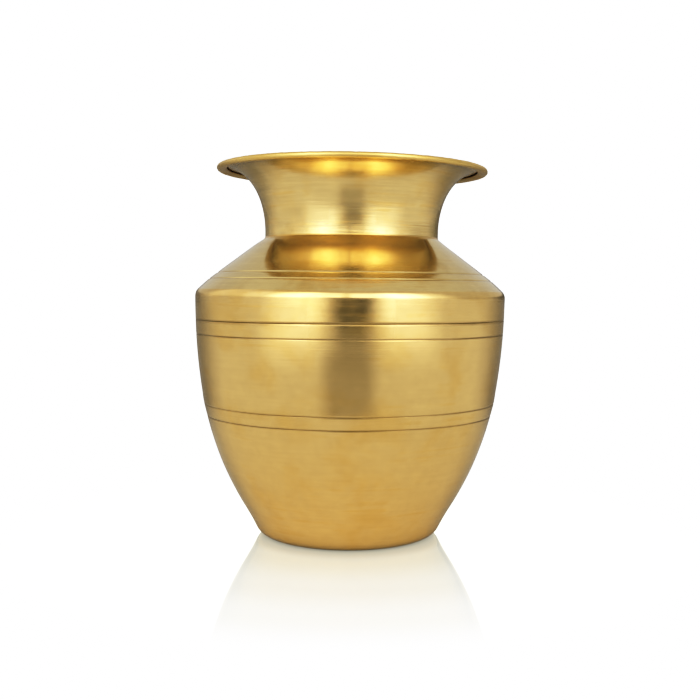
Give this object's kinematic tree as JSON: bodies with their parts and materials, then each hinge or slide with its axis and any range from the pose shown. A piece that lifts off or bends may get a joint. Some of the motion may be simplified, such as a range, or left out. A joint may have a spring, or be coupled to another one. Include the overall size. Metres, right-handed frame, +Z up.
{
  "type": "spun brass water pot",
  "caption": "Round-bellied spun brass water pot with a conical shoulder, narrow neck, wide wired rim and flat base, brazed from sheet.",
  "frame": {"origin": "centre of the flat base, on the surface that the pot stands on", "axes": "+Z up along the pot's axis; the pot is round, so +X and +Y are any two directions square to it"},
  "size_m": [0.153, 0.153, 0.1818],
  "materials": {
    "polished_brass": "lathe-polished brass with fine turned lines and light tarnish",
    "braze": "polished brass braze fillet",
    "steel_wire": "plain drawn wire, enclosed by the rolled rim"
  },
  "bodies": {
    "root": {"bowl": "polished_brass", "shoulder": "polished_brass", "neck": "polished_brass", "rim_wire": "steel_wire", "neck_braze": "braze", "lap_braze": "braze"}
  },
  "joints": []
}
